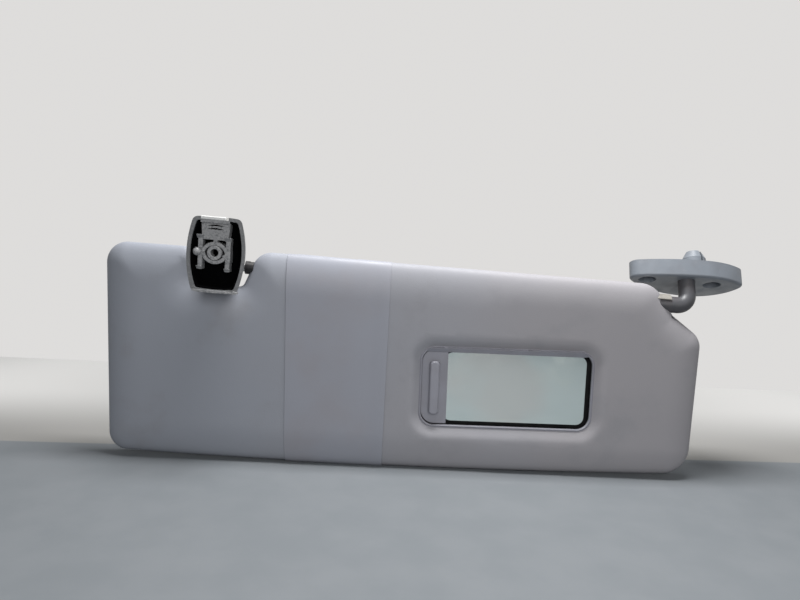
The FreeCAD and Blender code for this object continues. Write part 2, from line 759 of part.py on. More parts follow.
def claw():
    """The moulded claw in the dish: a tongue, two legs with barbs, and a ring for the screw."""
    front = dish_front + dim.claw_depth
    plate_back = front + dim.claw_plate
    half_leg = dim.claw_leg / 2
    tongue_top = dim.clip_top - dim.clip_wall - dim.clip_lining - dim.slide_gap
    parts = [
        block(
            "tongue",
            (clip_middle - dim.tongue_half, front, dim.tongue_low),
            (clip_middle + dim.tongue_half, plate_back, tongue_top),
        ),
        block(
            "bridge",
            (clip_middle - dim.claw_half, front, dim.ring_rise - half_leg * 2),
            (clip_middle + dim.claw_half, plate_back, dim.ring_rise + half_leg * 2),
        ),
        cylinder(
            "ring_boss",
            "Y",
            (clip_middle, front - dim.slide_gap, dim.ring_rise),
            dim.ring_radius,
            liner_floor - front + dim.slide_gap,
        ),
        cylinder(
            "lobe",
            "Y",
            (clip_middle, front, dim.ring_rise - dim.ring_radius / 2),
            dim.ring_radius,
            dim.claw_plate,
        ),
    ]
    for side_name, side in (("left", -1), ("right", 1)):
        leg_middle = clip_middle + dim.claw_half * side
        leg = block(
            side_name + "_leg",
            (leg_middle - half_leg, front, -dim.claw_foot),
            (leg_middle + half_leg, liner_floor, dim.claw_head),
        )
        arm_end = clip_middle + dim.tongue_half * side
        arm = block(
            side_name + "_arm",
            (arm_end - half_leg, front, dim.claw_head - dim.claw_leg),
            (arm_end + half_leg, plate_back, dim.claw_head),
        )
        parts += [leg, arm]
        for level_name, level in (("head", dim.claw_head), ("foot", -dim.claw_foot)):
            barb = cylinder(
                f"{side_name}_{level_name}_barb",
                "Y",
                (leg_middle, front - dim.slide_gap, level),
                dim.claw_barb,
                dim.claw_plate,
            )
            parts.append(barb)
    ball = doc.addObject("Part::Sphere", "ball")
    bind(ball, "Radius", dim.claw_barb)
    shift(ball, clip_middle - dim.claw_half - half_leg, front + dim.claw_plate / 2, dim.ring_rise)
    hole = cylinder(
        "claw_hole",
        "Y",
        (clip_middle, dish_front, dim.ring_rise),
        dim.ring_hole,
        liner_floor - dish_front,
    )
    window_middle = (dim.ring_radius + dim.claw_half - half_leg) / 2
    window_half = (dim.claw_half - half_leg - dim.ring_radius) / 2
    windows = [
        block(
            side_name + "_window",
            (clip_middle + window_middle * side - window_half, front, dim.ring_rise - half_leg),
            (clip_middle + window_middle * side + window_half, plate_back, dim.ring_rise + half_leg),
        )
        for side_name, side in (("left", -1), ("right", 1))
    ]
    return cut("clip_claw", fuse("claw_blank", ball, *parts), hole, *windows)


on_board(claw(), "clip_claw")

# Mirror: frame, sliding cover, glass on foam tape, and tray
frame_blank = rounded_slab(
    "frame_blank",
    MIDDLE,
    dim.window_half_length + dim.bezel,
    dim.window_half_height + dim.bezel,
    dim.window_round + dim.bezel,
    -half_thickness,
    -half_thickness + dim.bezel_depth,
)
frame_window = rounded_slab(
    "frame_window",
    MIDDLE,
    dim.window_half_length,
    dim.window_half_height,
    dim.window_round,
    -half_thickness,
    -half_thickness + dim.bezel_depth,
)
frame_ring = cut("frame_ring", frame_blank, frame_window)
round_over = dim.bezel_depth.value - 0.6


def window_edge(edge):
    """The round-over runs along the window on the driver's side."""
    bounds = edge.BoundBox
    across = max(bounds.XMax, -bounds.XMin) < dim.window_half_length.value + 0.1
    up = max(bounds.ZMax, -bounds.ZMin) < dim.window_half_height.value + 0.1
    return round_over if across and up and flat_at(edge, "y", -half_thickness.value) else 0


on_mirror(soften("mirror_frame", frame_ring, window_edge), "mirror_frame")

cover_plate = block(
    "cover_plate",
    (cover_left, cover_front, -cover_half_height),
    (cover_right, cover_back, cover_half_height),
)
grip_right = cover_right - dim.grip_inset
grip_block = block(
    "grip_block",
    (grip_right - dim.grip_width, cover_front - dim.grip_rise, -dim.grip_height / 2 - 1),
    (grip_right, cover_front, dim.grip_height / 2 - 1),
)
grip_bar = soften(
    "grip_bar",
    grip_block,
    lambda edge: 1.5 if not flat_at(edge, "y", cover_front.value) else 0,
)
on_mirror(fuse("mirror_cover", cover_plate, grip_bar), "mirror_cover")

glass_right = dim.window_half_length - dim.glass_end
glass_middle = ((cover_right + glass_right) / 2, 0)
glass_half_length = (glass_right - cover_right) / 2
glass_half_height = dim.window_half_height - dim.glass_edge
on_mirror(
    rounded_slab(
        "mirror_glass",
        glass_middle,
        glass_half_length,
        glass_half_height,
        dim.glass_round,
        glass_front,
        glass_back,
    ),
    "mirror_glass",
)
on_mirror(
    rounded_slab(
        "mirror_foam",
        glass_middle,
        glass_half_length - dim.foam_inset,
        glass_half_height - dim.foam_inset,
        dim.glass_round / 2,
        glass_back,
        foam_back,
    ),
    "mirror_foam",
)
tray_block = block(
    "tray_block",
    (-tray_half_length, glass_front, -cover_half_height - 1),
    (tray_half_length, tray_back, cover_half_height + 1),
)
tray_hollow = block(
    "tray_hollow",
    (-tray_half_length + dim.tray_wall, glass_front, -cover_half_height - 1 + dim.tray_wall),
    (tray_half_length - dim.tray_wall, foam_back, cover_half_height + 1 - dim.tray_wall),
)
on_mirror(cut("mirror_tray", tray_block, tray_hollow), "mirror_tray")


# Arm: a bent steel rod in a moulded sleeve
def bent_bar(name, radius, top, reach):
    """A round bar from the top of the swivel axis down and round to the board."""
    path = doc.addObject("Sketcher::SketchObject", name + "_path")
    path.Placement = Placement(Vector(), Rotation(Vector(1, 0, 0), 90))
    bend = dim.elbow_radius
    fold = -dim.arm_drop
    corner = Vector(-bend.value, fold.value + bend.value)
    path.addGeometry(
        Part.LineSegment(Vector(0, top.value), Vector(0, fold.value + bend.value))
    )
    arc = Part.ArcOfCircle(
        Part.Circle(corner, Vector(0, 0, 1), bend.value), math.radians(270), math.radians(360)
    )
    path.addGeometry(arc)
    path.addGeometry(
        Part.LineSegment(Vector(-bend.value, fold.value), Vector(-reach.value, fold.value))
    )
    path.addConstraint(Sketcher.Constraint("Tangent", 0, 2, 1, 2))
    path.addConstraint(Sketcher.Constraint("Tangent", 1, 1, 2, 1))
    path.addConstraint(Sketcher.Constraint("PointOnObject", 0, 1, -2))
    path.addConstraint(Sketcher.Constraint("Vertical", 0))
    path.addConstraint(Sketcher.Constraint("Horizontal", 2))
    places = (
        ("DistanceY", 0, 1, top),
        ("DistanceX", 2, 2, -reach),
        ("DistanceY", 2, 2, fold),
    )
    for kind, line, end, value in places:
        rule = Sketcher.Constraint(kind, -1, 1, line, end, value.value)
        bind(path, f"Constraints[{path.addConstraint(rule)}]", value)
    rule = Sketcher.Constraint("Radius", 1, bend.value)
    bind(path, f"Constraints[{path.addConstraint(rule)}]", bend)
    ring = doc.addObject("Part::Circle", name + "_ring")
    bind(ring, "Radius", radius)
    shift(ring, 0, 0, top)
    bar = doc.addObject("Part::Sweep", name)
    bar.Sections = [ring]
    bar.Spine = (path, ["Edge1", "Edge2", "Edge3"])
    bar.Solid = True
    bar.Frenet = True
    return bar


socket_top = -dim.lid - 3
sleeve_top = socket_top - 1
rod_top = -dim.lid - 0.6
on_swivel(bent_bar("pivot_rod", dim.rod_radius, rod_top, -end_bush_end), "pivot_rod")
sleeve_bar = bent_bar("sleeve_bar", dim.sleeve_radius, sleeve_top, dim.sleeve_reach)
sleeve_core = bent_bar("sleeve_core", dim.rod_radius, rod_top, dim.sleeve_reach + 5)
on_swivel(cut("arm_sleeve", sleeve_bar, sleeve_core), "arm_sleeve")
washer_radius = dim.sleeve_radius + 2.3
friction_spring = tube(
    "friction_spring",
    "Z",
    (0, 0, socket_top),
    dim.rod_radius,
    washer_radius - 0.5,
    dim.spring_leaf,
)
on_swivel(friction_spring, "friction_spring")
retaining_washer = tube(
    "retaining_washer",
    "Z",
    (0, 0, socket_top + dim.spring_leaf),
    dim.rod_radius,
    washer_radius,
    dim.washer,
)
on_swivel(retaining_washer, "retaining_washer")
rod_stop = tube(
    "rod_stop",
    "X",
    (stop_start, 0, -dim.arm_drop),
    dim.rod_radius,
    dim.rod_radius + 2.4,
    dim.washer,
)
on_swivel(rod_stop, "rod_stop")


# Base plate: an egg-shaped cover, flatter on the driver's side, with its lid and split peg
def quarter_bulge(across, up):
    """Bulge of an arc between two points whose tangent lies level at its crest."""
    chord = root(across * across + up * up)
    return chord * (chord - across) / (2 * up)


def plate_form(name, inset, low, height):
    """The base plate's outline as a slab, inset from its rim."""
    left = dim.plate_left - inset
    right = dim.plate_right - inset
    near = dim.plate_near - inset
    behind = dim.plate_far - inset
    crest = dim.plate_crest
    shape = outline(
        name + "_outline",
        [
            (-left, 0, quarter_bulge(left + crest, near)),
            (crest, -near, quarter_bulge(right - crest, near)),
            (right, 0, quarter_bulge(right - crest, behind)),
            (crest, behind, quarter_bulge(left + crest, behind)),
        ],
        lying=True,
    )
    slab = extrude(name + "_slab", shape, Vector(0, 0, 1), low, height)
    tip = dim.plate_tip.value - inset.value

    def tip_radius(edge):
        return tip if upright(edge, "z") and abs(edge.Vertexes[0].Y) < 0.5 else 0

    return soften(name, slab, tip_radius)


screw_places = [
    (-dim.screw_left - dim.screw_spacing / 2, dim.screw_back),
    (-dim.screw_left + dim.screw_spacing / 2, dim.screw_back),
]
plate_block = plate_form("plate_block", size(0), -dim.plate_depth, dim.plate_depth - dim.lid)
plate_rounded = soften(
    "plate_rounded",
    plate_block,
    lambda edge: 2.0 if flat_at(edge, "z", -dim.plate_depth.value) else 0,
)
plate_hollow = plate_form(
    "plate_hollow",
    dim.plate_wall,
    -dim.plate_depth + dim.plate_wall,
    dim.plate_depth - dim.plate_wall - dim.lid,
)
plate_shell = cut("plate_shell", plate_rounded, plate_hollow)
socket_length = socket_top + dim.plate_depth
socket = cylinder(
    "socket", "Z", (0, 0, -dim.plate_depth), dim.sleeve_radius + dim.socket_wall, socket_length
)
towers = [
    cylinder(
        f"tower_{index}",
        "Z",
        (*place, -dim.plate_depth),
        dim.head_radius + 1.5,
        dim.plate_depth - dim.lid,
    )
    for index, place in enumerate(screw_places)
]
tower_slab = plate_form("tower_slab", size(0.5), -dim.plate_depth, dim.plate_depth - dim.lid)
towers_trimmed = common("towers_trimmed", fuse("towers", *towers), tower_slab)
sleeve_bore = cylinder(
    "sleeve_bore",
    "Z",
    (0, 0, -dim.plate_depth),
    dim.sleeve_radius + dim.running_gap,
    socket_length - 1 + dim.running_gap,
)
rod_bore = cylinder("rod_bore", "Z", (0, 0, -dim.plate_depth), bore_radius, dim.plate_depth)
head_recesses = [
    cylinder(
        f"head_recess_{index}", "Z", (*place, -dim.plate_depth), dim.head_radius, dim.head_depth
    )
    for index, place in enumerate(screw_places)
]


def screw_holes(name):
    return [
        cylinder(
            f"{name}_{index}",
            "Z",
            (*place, -dim.plate_depth),
            dim.screw_radius,
            dim.plate_depth,
        )
        for index, place in enumerate(screw_places)
    ]


plate_solid = fuse("plate_solid", plate_shell, socket, towers_trimmed)
plate_holes = screw_holes("plate_hole")
base_plate = cut(
    "base_plate", plate_solid, sleeve_bore, rod_bore, *head_recesses, *plate_holes
)
on_swivel(base_plate, "base_plate")

lid_slab = plate_form("lid_slab", size(0), -dim.lid, dim.lid)
peg_shank = cylinder(
    "peg_shank",
    "Z",
    (dim.peg_right, dim.peg_back, -dim.lid),
    dim.peg_radius,
    dim.lid + dim.peg_rise - dim.peg_taper,
)
peg_tip = doc.addObject("Part::Cone", "peg_tip")
bind(peg_tip, "Radius1", dim.peg_radius)
bind(peg_tip, "Radius2", dim.peg_top_radius)
bind(peg_tip, "Height", dim.peg_taper)
shift(peg_tip, dim.peg_right, dim.peg_back, dim.peg_rise - dim.peg_taper)
slot_middle = dim.peg_right + dim.peg_top_radius / 2
peg_slot = block(
    "peg_slot",
    (slot_middle - dim.peg_slot / 2, dim.peg_back - dim.peg_radius, 1),
    (slot_middle + dim.peg_slot / 2, dim.peg_back + dim.peg_radius, dim.peg_rise),
)
lid_blank = fuse("lid_blank", lid_slab, peg_shank, peg_tip)
on_swivel(cut("base_lid", lid_blank, peg_slot, *screw_holes("lid_hole")), "base_lid")

# Export: every node is checked, then written to its own file
NODES = [
    "base_plate",
    "base_lid",
    "arm_sleeve",
    "pivot_rod",
    "friction_spring",
    "retaining_washer",
    "rod_stop",
    "vinyl_cover",
    "front_core",
    "rear_core",
    "ticket_band",
    "pivot_bush",
    "end_bush",
    "detent_clamp",
    "clamp_bracket",
    "clip_rod",
    "left_collar",
    "right_collar",
    "clip_housing",
    "clip_liner",
    "clip_claw",
    "clip_spring",
    "mirror_frame",
    "mirror_cover",
    "mirror_glass",
    "mirror_foam",
    "mirror_tray",
]

doc.recompute()
for thing in doc.Objects:
    if "Invalid" in thing.State or "Error" in thing.State:
        raise RuntimeError(f"{thing.Name} failed: {thing.State}")

os.makedirs("parts", exist_ok=True)
for node in NODES:
    (thing,) = doc.getObjectsByLabel(node)
    shape = thing.Shape
    if shape.isNull() or not shape.isValid() or shape.Volume <= 0:
        raise RuntimeError(f"{node} has no valid solid")
    shape.exportStep(f"parts/{node}.step")
    print(f"{node}: {len(shape.Solids)} solid, {shape.Volume / 1000:.2f} cm3")
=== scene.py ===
"""Looks of the car sun visor: coverings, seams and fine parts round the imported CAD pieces."""

import json
import math

import bmesh
import bpy
import numpy as np
from mathutils import Matrix, Vector, geometry, noise


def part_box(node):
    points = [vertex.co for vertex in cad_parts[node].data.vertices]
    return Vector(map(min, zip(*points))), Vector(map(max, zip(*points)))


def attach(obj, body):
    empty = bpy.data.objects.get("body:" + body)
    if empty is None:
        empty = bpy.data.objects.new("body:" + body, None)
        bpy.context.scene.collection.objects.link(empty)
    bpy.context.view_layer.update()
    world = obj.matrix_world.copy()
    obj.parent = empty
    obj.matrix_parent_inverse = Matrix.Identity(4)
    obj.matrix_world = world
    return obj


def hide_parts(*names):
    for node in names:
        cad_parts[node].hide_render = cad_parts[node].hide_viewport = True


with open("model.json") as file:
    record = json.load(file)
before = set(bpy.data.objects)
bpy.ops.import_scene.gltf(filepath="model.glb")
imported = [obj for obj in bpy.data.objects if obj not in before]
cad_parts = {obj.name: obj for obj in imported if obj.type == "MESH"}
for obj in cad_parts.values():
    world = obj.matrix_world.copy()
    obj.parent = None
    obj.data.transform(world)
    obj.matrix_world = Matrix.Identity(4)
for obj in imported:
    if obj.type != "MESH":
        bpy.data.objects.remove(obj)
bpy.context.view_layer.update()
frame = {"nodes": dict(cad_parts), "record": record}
nodes = frame["nodes"]

MM = 0.001

# Places and sizes in millimetres, as in the part. Board places are measured from the point where
# the fold axis meets the swivel axis, window places from the middle of the mirror window.
ARM_LEAN = math.radians(25.0)
ARM_DROP = 33.5
BACK = ARM_DROP * math.sin(ARM_LEAN)
DOWN = ARM_DROP * math.cos(ARM_LEAN)
HALF = 10.0
CORNERS = [
    ((-434.8, -150.3), 14.0),
    ((16.0, -130.6), 20.0),
    ((12.6, -24.0), 15.0),
    ((-10.7, -8.2), 5.0),
    ((-27.8, 14.4), 19.0),
    ((-327.3, 12.9), 15.0),
    ((-338.2, -15.0), 5.0),
    ((-374.0, -15.0), 5.0),
    ((-376.0, 12.4), 10.0),
    ((-443.2, 11.7), 16.0),
]
LOW_BULGE = 4.0
WINDOW = (-131.0, -75.0)
WINDOW_TURN = math.radians(3.0)
OPENING = (-131.5, -75.2)
OPENING_HALF = (64.9, 29.9)
OPENING_ROUND = 10.0
GLASS_MIDDLE = (6.7, -0.6)
GLASS_HALF = (54.7, 27.3)
GLASS_FRONT = -1.6
STRIP_FOOT = 26.2
GRIP = (-55.6, -0.5)
BAND_LEFT = (-296.0, -306.0)
BAND_RIGHT = (-221.0, -227.0)
BAND_FOOT, BAND_HEAD = -150.3, 16.0
CLAW = (-353.6, 10.8)


def on_board(x, y, z):
    """A place on the board, in metres in the row frame."""
    return Vector((x, y - BACK, z - DOWN)) * MM


def on_window(x, y, z):
    """A place given from the middle of the mirror window, in metres in the row frame."""
    along = x * math.cos(WINDOW_TURN) - z * math.sin(WINDOW_TURN)
    up = x * math.sin(WINDOW_TURN) + z * math.cos(WINDOW_TURN)
    return on_board(WINDOW[0] + along, y, WINDOW[1] + up)


# Shaders
class Socket:
    """A shader socket with arithmetic."""

    def __init__(self, shader, socket):
        self.shader = shader
        self.socket = socket

    def math(self, operation, *others):
        return self.shader.node("ShaderNodeMath", {"operation": operation}, [self, *others])

    def __add__(self, other):
        return self.math("ADD", other)

    def __mul__(self, other):
        return self.math("MULTIPLY", other)

    __radd__ = __add__
    __rmul__ = __mul__

    def ramp(self, low, high, first=0.0, last=1.0):
        """Maps low..high smoothly to first..last."""
        settings = {"interpolation_type": "SMOOTHSTEP"}
        return self.shader.node("ShaderNodeMapRange", settings, [self, low, high, first, last])


class Shader:
    """The nodes of a material or world, all made through one method."""

    def __init__(self, data):
        self.data = data
        self.data.use_nodes = True
        self.tree = self.data.node_tree

    def join(self, value, target):
        """Links a socket to a node's input, or sets the input's value."""
        if isinstance(value, Socket):
            self.tree.links.new(value.socket, target)
        else:
            target.default_value = value

    def node(self, kind, settings=None, inputs=None, output=0):
        node = self.tree.nodes.new(kind)
        for key, value in (settings or {}).items():
            setattr(node, key, value)
        pairs = inputs.items() if isinstance(inputs, dict) else enumerate(inputs or [])
        for key, value in pairs:
            self.join(value, node.inputs[key])
        return Socket(self, node.outputs[output])


class Material(Shader):
    """A material with one main shader, whose constant values are set on its own sockets."""

    def __init__(self, name, color, **settings):
        super().__init__(bpy.data.materials.new(name))
        self.plain = color
        self.set("Base Color", (*color, 1.0))
        for key, value in settings.items():
            self.set(key.replace("_", " ").title().replace("Ior", "IOR"), value)

    def set(self, name, value):
        self.join(value, self.tree.nodes["Principled BSDF"].inputs[name])

    def place(self):
        return self.node("ShaderNodeTexCoord", output="Object")

    def along(self, axis):
        """The place along X, Y or Z, in metres."""
        return self.node("ShaderNodeSeparateXYZ", None, [self.place()], "XYZ".index(axis))

    def cloud(self, scale, detail=2.0, roughness=0.5):
        """Soft noise with about scale patches a metre."""
        values = {"Vector": self.place(), "Scale": scale, "Detail": detail}
        return self.node("ShaderNodeTexNoise", None, {**values, "Roughness": roughness})

    def cells(self, scale, feature="F1"):
        """Voronoi distance with about scale cells a metre."""
        values = {"Vector": self.place(), "Scale": scale}
        return self.node("ShaderNodeTexVoronoi", {"feature": feature}, values)

    def tint(self, *layers):
        """The base colour mixed by each (amount socket, colour) in turn."""
        color = (*self.plain, 1)
        for amount, other in layers:
            values = {"Factor": amount, 6: color, 7: (*other, 1)}
            color = self.node("ShaderNodeMix", {"data_type": "RGBA"}, values, output=2)
        self.set("Base Color", color)

    def bump(self, height, depth):
        """Bump from a height socket, depth in millimetres."""
        values = {"Distance": depth * MM, "Height": height}
        self.set("Normal", self.node("ShaderNodeBump", None, values))


def make_materials():
    made = {}
    vinyl = Material("vinyl", (0.268, 0.282, 0.318), roughness=0.55, specular_ior_level=0.2)
    grain = vinyl.cells(1500.0, "SMOOTH_F1")
    vinyl.bump(grain * 0.7 + vinyl.cloud(2800.0, 3.0) * 0.5, 0.05)
    warm = (vinyl.cloud(9.0, 2.0) * 0.2 + vinyl.along("X")).ramp(-0.3, 0.05)
    grime = vinyl.cloud(26.0, 4.0, 0.6).ramp(0.5, 0.75)
    vinyl.tint((warm, (0.287, 0.277, 0.291)), (grime * 0.5, (0.235, 0.235, 0.25)))
    vinyl.set("Roughness", vinyl.cloud(60.0, 4.0).ramp(0.3, 0.7, 0.48, 0.6))
    made["vinyl"] = vinyl

    band = Material("band", (0.275, 0.283, 0.32), roughness=0.45, specular_ior_level=0.25)
    band.bump(band.cloud(1900.0, 2.0) + band.cells(1500.0, "SMOOTH_F1") * 0.5, 0.035)
    band.tint((band.cloud(20.0, 4.0).ramp(0.4, 0.7), (0.27, 0.268, 0.295)))
    band.set("Roughness", band.cloud(45.0, 4.0).ramp(0.3, 0.7, 0.38, 0.52))
    made["band"] = band

    grey = Material("grey_plastic", (0.155, 0.172, 0.195), roughness=0.42)
    grey.bump(grey.cloud(3200.0, 2.0) + grey.cells(2600.0) * 0.5, 0.02)
    scuff = grey.cloud(240.0, 5.0, 0.7).ramp(0.6, 0.78)
    grey.tint(
        (grey.cloud(70.0, 3.0).ramp(0.4, 0.7), (0.14, 0.152, 0.172)),
        (scuff * 0.5, (0.2, 0.21, 0.225)),
    )
    grey.set("Roughness", grey.cloud(120.0, 3.0).ramp(0.3, 0.7, 0.36, 0.5))
    made["grey_plastic"] = grey

    cover = Material("cover_plastic", (0.25, 0.25, 0.285), roughness=0.36)
    cover.bump(cover.cloud(2600.0, 2.0), 0.015)
    cover.tint((cover.cloud(80.0, 3.0).ramp(0.4, 0.7), (0.235, 0.232, 0.26)))
    cover.set("Roughness", cover.cloud(90.0, 3.0).ramp(0.3, 0.7, 0.3, 0.42))
    made["cover_plastic"] = cover

    # Painted highlight: a pale colour for the strip on the clip's top edge, standing in for the
    # light that edge catches.
    pale = Material("painted_highlight_plastic", (0.62, 0.62, 0.61), roughness=0.4)
    pale.bump(pale.cloud(1200.0, 3.0), 0.05)
    pale.tint((pale.cloud(300.0, 4.0).ramp(0.55, 0.75), (0.45, 0.45, 0.45)))
    made["painted_highlight_plastic"] = pale

    nylon = Material("nylon", (0.22, 0.208, 0.185), roughness=0.5)
    nylon.bump(nylon.cloud(1500.0, 3.0), 0.03)
    nylon.tint((nylon.cloud(250.0, 3.0).ramp(0.5, 0.75), (0.17, 0.16, 0.145)))
    made["nylon"] = nylon

    sleeve = Material("sleeve_plastic", (0.05, 0.051, 0.057), roughness=0.45)
    sleeve.bump(sleeve.cloud(2200.0, 2.0), 0.02)
    sleeve.tint((sleeve.cloud(90.0, 3.0).ramp(0.4, 0.7), (0.062, 0.057, 0.062)))
    sleeve.set("Roughness", sleeve.cloud(130.0, 3.0).ramp(0.3, 0.7, 0.4, 0.55))
    made["sleeve_plastic"] = sleeve

    clip = Material("clip_plastic", (0.13, 0.132, 0.137), roughness=0.5)
    clip.bump(clip.cloud(900.0, 4.0) + clip.cells(600.0) * 0.4, 0.12)
    clip.tint((clip.cloud(420.0, 5.0, 0.7).ramp(0.45, 0.7), (0.19, 0.192, 0.195)))
    clip.set("Roughness", clip.cloud(300.0, 3.0).ramp(0.3, 0.7, 0.42, 0.6))
    made["clip_plastic"] = clip

    black = Material("black_plastic", (0.012, 0.0115, 0.0125), roughness=0.4)
    black.bump(black.cloud(2800.0, 2.0), 0.02)
    black.tint((black.cloud(120.0, 4.0).ramp(0.45, 0.75), (0.022, 0.02, 0.021)))
    black.set("Roughness", black.cloud(150.0, 3.0).ramp(0.3, 0.7, 0.32, 0.48))
    made["black_plastic"] = black

    claw = Material("claw_plastic", (0.25, 0.252, 0.258), roughness=0.48)
    pits = claw.cells(520.0).ramp(0.1, 0.4)
    claw.bump(pits + claw.cloud(1500.0, 3.0) * 0.5, 0.22)
    worn = claw.cloud(650.0, 4.0, 0.65)
    claw.tint((worn.ramp(0.5, 0.7), (0.1, 0.103, 0.108)), (worn.ramp(0.5, 0.3), (0.3, 0.3, 0.3)))
    claw.set("Roughness", worn.ramp(0.4, 0.7, 0.4, 0.6))
    made["claw_plastic"] = claw

    # The black liner inside the clip's dish, made near-black with almost no sheen: partly its own
    # black, partly painted shade for the deep shade in the dish.
    painted_shade_lining = Material(
        "dark_lining", (0.0012, 0.0012, 0.0014), roughness=1.0, specular_ior_level=0.02
    )
    painted_shade_lining.bump(painted_shade_lining.cloud(2500.0, 4.0), 0.2)
    painted_shade_lining.tint((painted_shade_lining.cloud(900.0, 3.0).ramp(0.5, 0.8), (0.003, 0.003, 0.0032)))
    made["dark_lining"] = painted_shade_lining

    core = Material("core", (0.012, 0.012, 0.013), roughness=0.7, specular_ior_level=0.1)
    core.bump(core.cloud(1500.0, 2.0), 0.05)
    core.tint((core.cloud(300.0, 3.0).ramp(0.4, 0.7), (0.018, 0.018, 0.018)))
    made["core"] = core

    steel = Material("steel", (0.62, 0.62, 0.61), metallic=1.0, roughness=0.28)
    steel.bump(steel.cloud(1800.0, 2.0), 0.01)
    steel.tint((steel.cloud(200.0, 4.0).ramp(0.5, 0.75), (0.42, 0.41, 0.4)))
    steel.set("Roughness", steel.cloud(250.0, 3.0).ramp(0.3, 0.7, 0.2, 0.36))
    made["steel"] = steel

    spring = Material("spring_steel", (0.3, 0.29, 0.28), metallic=1.0, roughness=0.35)
    spring.tint((spring.cloud(260.0, 4.0).ramp(0.5, 0.75), (0.16, 0.14, 0.13)))
    spring.set("Roughness", spring.cloud(250.0, 3.0).ramp(0.3, 0.7, 0.28, 0.42))
    made["spring_steel"] = spring

    # The glass's green cast is partly its own tint and partly a painted reflection of the room's
    # greenish tint.
    mirror = Material("mirror", (0.84, 0.93, 0.9), metallic=1.0, roughness=0.05)
    smear = mirror.cloud(34.0, 5.0, 0.6)
    mirror.set("Roughness", smear.ramp(0.35, 0.75, 0.06, 0.2))
    mirror.tint(
        (mirror.cloud(14.0, 3.0).ramp(0.42, 0.62), (0.85, 0.87, 0.83)),
        (smear.ramp(0.5, 0.75) * 0.6, (0.74, 0.81, 0.77)),
    )
    made["mirror_glass"] = mirror

    foam = Material("foam", (0.03, 0.03, 0.03), roughness=0.9)
    foam.bump(foam.cells(2000.0), 0.2)
    foam.tint((foam.cells(2000.0).ramp(0.1, 0.5), (0.015, 0.015, 0.015)))
    made["foam"] = foam
    return made


materials = make_materials()


def dress(obj, slot, material=None):
    """Gives an object its material: the look named, or else the material of its slot."""
    obj.data.materials.clear()
    obj.data.materials.append(materials[material or slot].data)


# Meshes
def add_mesh(name, mesh, smooth_angle=40.0):
    obj = bpy.data.objects.new(name, mesh)
    bpy.context.scene.collection.objects.link(obj)
    mesh.polygons.foreach_set("use_smooth", [True] * len(mesh.polygons))
    mesh.set_sharp_from_angle(angle=math.radians(smooth_angle))
    return obj


def add_object(name, vertices, faces, smooth_angle=40.0):
    """A mesh object from points in metres, its faces turned outward."""
    mesh = bpy.data.meshes.new(name)
    mesh.from_pydata([tuple(v) for v in vertices], [], faces)
    work = bmesh.new()
    work.from_mesh(mesh)
    bmesh.ops.remove_doubles(work, verts=work.verts, dist=1e-6)
    bmesh.ops.recalc_face_normals(work, faces=work.faces)
    work.to_mesh(mesh)
    work.free()
    return add_mesh(name, mesh, smooth_angle)


def ease(obj, width, segments=2):
    """Rounds an object's sharp edges, width in millimetres."""
    bevel = obj.modifiers.new("ease", "BEVEL")
    bevel.width = width * MM
    bevel.segments = segments
    bevel.limit_method = "ANGLE"
    bevel.angle_limit = math.radians(35)
    bevel.use_clamp_overlap = True


def merged_copy(node, name, smooth_angle=35.0):
    """A copy of a CAD piece's mesh with its triangles joined, as a new object."""
    mesh = nodes[node].data.copy()
    mesh.name = name
    work = bmesh.new()
    work.from_mesh(mesh)
    bmesh.ops.remove_doubles(work, verts=work.verts, dist=2e-6)
    bmesh.ops.dissolve_limit(
        work, angle_limit=math.radians(0.6), verts=work.verts, edges=work.edges
    )
    work.to_mesh(mesh)
    work.free()
    return add_mesh(name, mesh, smooth_angle)


# Board outline
def rounded_loop(corners, step=1.5):
    """Points along a closed anticlockwise outline whose corners are ((x, z), radius)."""
    count = len(corners)
    loop = []
    for index, (corner, radius) in enumerate(corners):
        here = Vector(corner)
        before = (Vector(corners[index - 1][0]) - here).normalized()
        after = (Vector(corners[(index + 1) % count][0]) - here).normalized()
        half = before.angle(after) / 2
        middle = here + (before + after).normalized() * radius / math.sin(half)
        first = here + before * radius / math.tan(half) - middle
        turn = math.pi - 2 * half
        steps = max(4, int(radius * turn / step) + 1)
        side = 1.0 if before.cross(after) < 0 else -1.0
        for k in range(steps + 1):
            angle = side * turn * k / steps
            cosine, sine = math.cos(angle), math.sin(angle)
            across = first.x * cosine - first.y * sine
            up = first.x * sine + first.y * cosine
            loop.append(middle + Vector((across, up)))
    dense = []
    for index, point in enumerate(loop):
        after = loop[(index + 1) % len(loop)]
        pieces = max(1, int((after - point).length / step + 0.5))
        dense += [point.lerp(after, k / pieces) for k in range(pieces)]
    return np.array([tuple(point) for point in dense])


def inward(loop):
    """Unit normals of an anticlockwise loop, towards its inside."""
    along = np.roll(loop, -1, 0) - np.roll(loop, 1, 0)
    normal = np.stack([-along[:, 1], along[:, 0]], 1)
    return normal / np.linalg.norm(normal, axis=1, keepdims=True)


def distance_to(loop, points):
    """Distance of each point from a closed loop."""
    start = loop[None]
    side = (np.roll(loop, -1, 0) - loop)[None]
    result = np.empty(len(points))
    for low in range(0, len(points), 400):
        offset = points[low : low + 400, None] - start
        along = (offset * side).sum(2) / np.maximum((side * side).sum(2), 1e-12)
        nearest = offset - np.clip(along, 0, 1)[..., None] * side
        result[low : low + 400] = np.sqrt((nearest**2).sum(2)).min(1)
    return result


def inside(loop, points):
    """True for each point inside a closed loop."""
    x, z = points[:, 0, None], points[:, 1, None]
    x0, z0 = loop[:, 0], loop[:, 1]
    x1, z1 = np.roll(x0, -1), np.roll(z0, -1)
    crosses = (z0 > z) != (z1 > z)
    with np.errstate(divide="ignore", invalid="ignore"):
        at = x0 + (z - z0) * (x1 - x0) / (z1 - z0)
    return (crosses & (x < at)).sum(1) % 2 == 1


def smooth(value):
    value = np.clip(value, 0.0, 1.0)
    return value * value * (3 - 2 * value)


